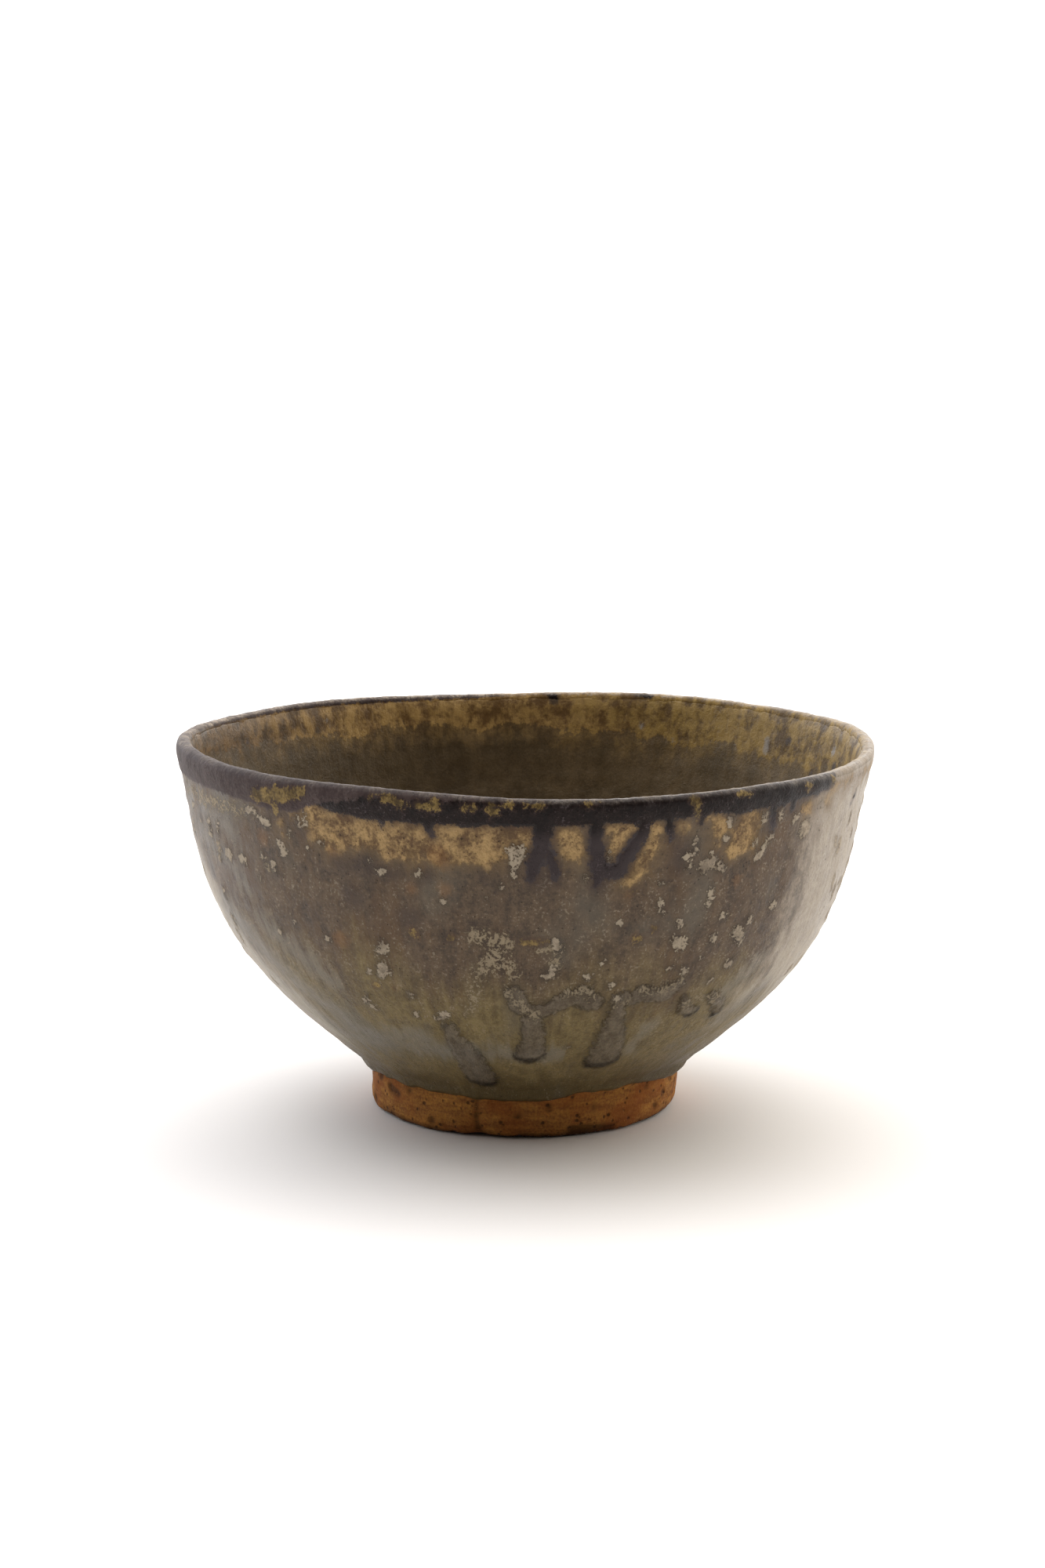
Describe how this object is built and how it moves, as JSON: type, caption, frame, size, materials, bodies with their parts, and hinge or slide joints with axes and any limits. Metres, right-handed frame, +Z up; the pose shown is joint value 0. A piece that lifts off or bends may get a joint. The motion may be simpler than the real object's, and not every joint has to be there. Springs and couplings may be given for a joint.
{
  "type": "matcha bowl",
  "caption": "Hand-thrown stoneware tea bowl with a swelling wall, a lip that leans out slightly, a low unglazed foot ring, and glaze coats outside, inside and over the lip.",
  "frame": {"origin": "centre of the foot ring, on the plane that the bowl stands on", "axes": "+Z up along the axis that the bowl was thrown about; +X and +Y across, with -Y towards the front of the bowl, the side with the black drips"},
  "size_m": [0.124, 0.124, 0.066],
  "materials": {
    "stoneware_clay": "unglazed fired clay, matt",
    "foot_clay": "unglazed orange-brown fired clay, matt and gritty",
    "outer_ash_glaze": "mottled grey-brown and olive ash glaze, satin",
    "inner_ash_glaze": "dark olive-brown ash glaze with an ochre band below the lip, satin",
    "rim_iron_glaze": "purple-brown to black iron glaze, satin"
  },
  "bodies": {
    "root": {"stoneware_bowl": "stoneware_clay", "foot_ring": "foot_clay", "outer_glaze": "outer_ash_glaze", "inner_glaze": "inner_ash_glaze", "rim_glaze": "rim_iron_glaze"}
  },
  "joints": []
}
